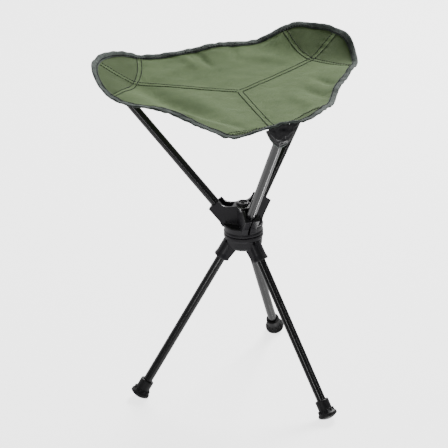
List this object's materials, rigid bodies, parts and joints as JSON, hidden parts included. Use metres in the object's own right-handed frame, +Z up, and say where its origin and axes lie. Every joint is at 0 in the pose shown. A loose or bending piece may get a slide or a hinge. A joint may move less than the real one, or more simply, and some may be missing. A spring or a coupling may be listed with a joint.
{
  "type": "folding three leg stool",
  "caption": "Folding tripod stool with a swivel hub, black tube legs and arms, rubber feet and a sagging rounded triangular cloth seat.",
  "frame": {"origin": "on the swivel axis, at ground level under the three feet", "axes": "+Z up along the swivel axis, -Y towards seat corner 1, +X to the right when looking along +Y"},
  "size_m": [0.439, 0.4126, 0.5674],
  "materials": {
    "hub_plastic": "moulded, fine texture, satin",
    "tube_black": "black powder coat, semi gloss",
    "pin_steel": "zinc plated",
    "bolt_steel": "black oxide",
    "foot_rubber": "moulded, matte",
    "cap_plastic": "moulded",
    "bearing_nylon": "natural nylon",
    "seat_cloth": "woven polyester, sage green",
    "edge_tape": "ribbed woven tape, grey green",
    "pocket_cloth": "coated cloth, slight gloss"
  },
  "bodies": {
    "lower_hub": {"lower_hub": "hub_plastic", "swivel_bolt": "bolt_steel", "swivel_nut": "pin_steel", "bearing_washer": "bearing_nylon", "leg_pin_1": "pin_steel", "leg_pin_2": "pin_steel", "leg_pin_3": "pin_steel"},
    "upper_hub": {"upper_hub": "hub_plastic", "head_washer": "pin_steel", "arm_pin_1": "pin_steel", "arm_pin_2": "pin_steel", "arm_pin_3": "pin_steel"},
    "leg_1": {"leg_tube_1": "tube_black", "foot_1": "foot_rubber", "foot_disc_1": "pin_steel"},
    "leg_2": {"leg_tube_2": "tube_black", "foot_2": "foot_rubber", "foot_disc_2": "pin_steel"},
    "leg_3": {"leg_tube_3": "tube_black", "foot_3": "foot_rubber", "foot_disc_3": "pin_steel"},
    "arm_1": {"arm_tube_1": "tube_black", "arm_cap_1": "cap_plastic", "pocket_1": "pocket_cloth", "pocket_tape_1": "edge_tape"},
    "arm_2": {"arm_tube_2": "tube_black", "arm_cap_2": "cap_plastic", "pocket_2": "pocket_cloth", "pocket_tape_2": "edge_tape"},
    "arm_3": {"arm_tube_3": "tube_black", "arm_cap_3": "cap_plastic", "pocket_3": "pocket_cloth", "pocket_tape_3": "edge_tape"},
    "seat_1_left": {"seat_panel_1_left": "seat_cloth", "seat_binding_1_left": "edge_tape"},
    "seat_1_right": {"seat_panel_1_right": "seat_cloth", "seat_binding_1_right": "edge_tape"},
    "seat_2_left": {"seat_panel_2_left": "seat_cloth", "seat_binding_2_left": "edge_tape"},
    "seat_2_right": {"seat_panel_2_right": "seat_cloth", "seat_binding_2_right": "edge_tape"},
    "seat_3_left": {"seat_panel_3_left": "seat_cloth", "seat_binding_3_left": "edge_tape"},
    "seat_3_right": {"seat_panel_3_right": "seat_cloth", "seat_binding_3_right": "edge_tape"}
  },
  "joints": [
    {"name": "hub_swivel", "type": "hinge", "parent": "lower_hub", "child": "upper_hub", "pos_m": [0, 0, 0.2823], "axis": [0, 0, 1], "continuous": true},
    {"name": "leg_1_fold", "type": "hinge", "parent": "lower_hub", "child": "leg_1", "pos_m": [0.01009, -0.01898, 0.2683], "axis": [0.8829, 0.4695, 0], "range_deg": [0, 32.5]},
    {"name": "leg_2_fold", "type": "hinge", "parent": "lower_hub", "child": "leg_2", "pos_m": [0.01139, 0.01823, 0.2683], "axis": [-0.848, 0.5299, 0], "range_deg": [0, 32.5]},
    {"name": "leg_3_fold", "type": "hinge", "parent": "lower_hub", "child": "leg_3", "pos_m": [-0.02149, 0.00075, 0.2683], "axis": [-0.0349, -0.9994, 0], "range_deg": [0, 32.5]},
    {"name": "arm_1_fold", "type": "hinge", "parent": "upper_hub", "child": "arm_1", "pos_m": [0, -0.024, 0.3033], "axis": [-1, 0, 0], "range_deg": [0, 39.5], "deforming": ["pocket_1", "pocket_tape_1"]},
    {"name": "arm_2_fold", "type": "hinge", "parent": "upper_hub", "child": "arm_2", "pos_m": [0.02079, 0.012, 0.3033], "axis": [0.5, -0.866, 0], "range_deg": [0, 39.5], "deforming": ["pocket_2", "pocket_tape_2"]},
    {"name": "arm_3_fold", "type": "hinge", "parent": "upper_hub", "child": "arm_3", "pos_m": [-0.02079, 0.012, 0.3033], "axis": [0.5, 0.866, 0], "range_deg": [0, 39.5], "deforming": ["pocket_3", "pocket_tape_3"]},
    {"name": "seat_1_left_fold", "type": "hinge", "parent": "arm_1", "child": "seat_1_left", "pos_m": [0.00972, -0.18745, 0.52845], "axis": [-0.7966, -0.5504, 0.2501], "range_deg": [0, 56.4], "deforming": ["seat_panel_1_left", "seat_binding_1_left"]},
    {"name": "seat_1_right_fold", "type": "hinge", "parent": "arm_1", "child": "seat_1_right", "pos_m": [-0.00972, -0.18745, 0.52845], "axis": [-0.7966, 0.5504, -0.2501], "range_deg": [0, 56.4], "deforming": ["seat_panel_1_right", "seat_binding_1_right"]},
    {"name": "seat_2_left_fold", "type": "hinge", "parent": "arm_2", "child": "seat_2_left", "pos_m": [0.15747, 0.10214, 0.52845], "axis": [0.8749, -0.4147, 0.2501], "range_deg": [0, 56.4], "deforming": ["seat_panel_2_left", "seat_binding_2_left"]},
    {"name": "seat_2_right_fold", "type": "hinge", "parent": "arm_2", "child": "seat_2_right", "pos_m": [0.1672, 0.0853, 0.52845], "axis": [-0.0784, -0.965, -0.2501], "range_deg": [0, 56.4], "deforming": ["seat_panel_2_right", "seat_binding_2_right"]},
    {"name": "seat_3_left_fold", "type": "hinge", "parent": "arm_3", "child": "seat_3_left", "pos_m": [-0.1672, 0.0853, 0.52845], "axis": [-0.0784, 0.965, 0.2501], "range_deg": [0, 56.4], "deforming": ["seat_panel_3_left", "seat_binding_3_left"]},
    {"name": "seat_3_right_fold", "type": "hinge", "parent": "arm_3", "child": "seat_3_right", "pos_m": [-0.15747, 0.10214, 0.52845], "axis": [0.8749, 0.4147, -0.2501], "range_deg": [0, 56.4], "deforming": ["seat_panel_3_right", "seat_binding_3_right"]}
  ],
  "couplings": [
    {"joint": "arm_2_fold", "follows": "arm_1_fold", "ratio": 1},
    {"joint": "arm_3_fold", "follows": "arm_1_fold", "ratio": 1},
    {"joint": "seat_1_left_fold", "follows": "arm_1_fold", "ratio": 1.4241},
    {"joint": "seat_1_right_fold", "follows": "arm_1_fold", "ratio": 1.4241},
    {"joint": "seat_2_left_fold", "follows": "arm_1_fold", "ratio": 1.4241},
    {"joint": "seat_2_right_fold", "follows": "arm_1_fold", "ratio": 1.4241},
    {"joint": "seat_3_left_fold", "follows": "arm_1_fold", "ratio": 1.4241},
    {"joint": "seat_3_right_fold", "follows": "arm_1_fold", "ratio": 1.4241}
  ]
}
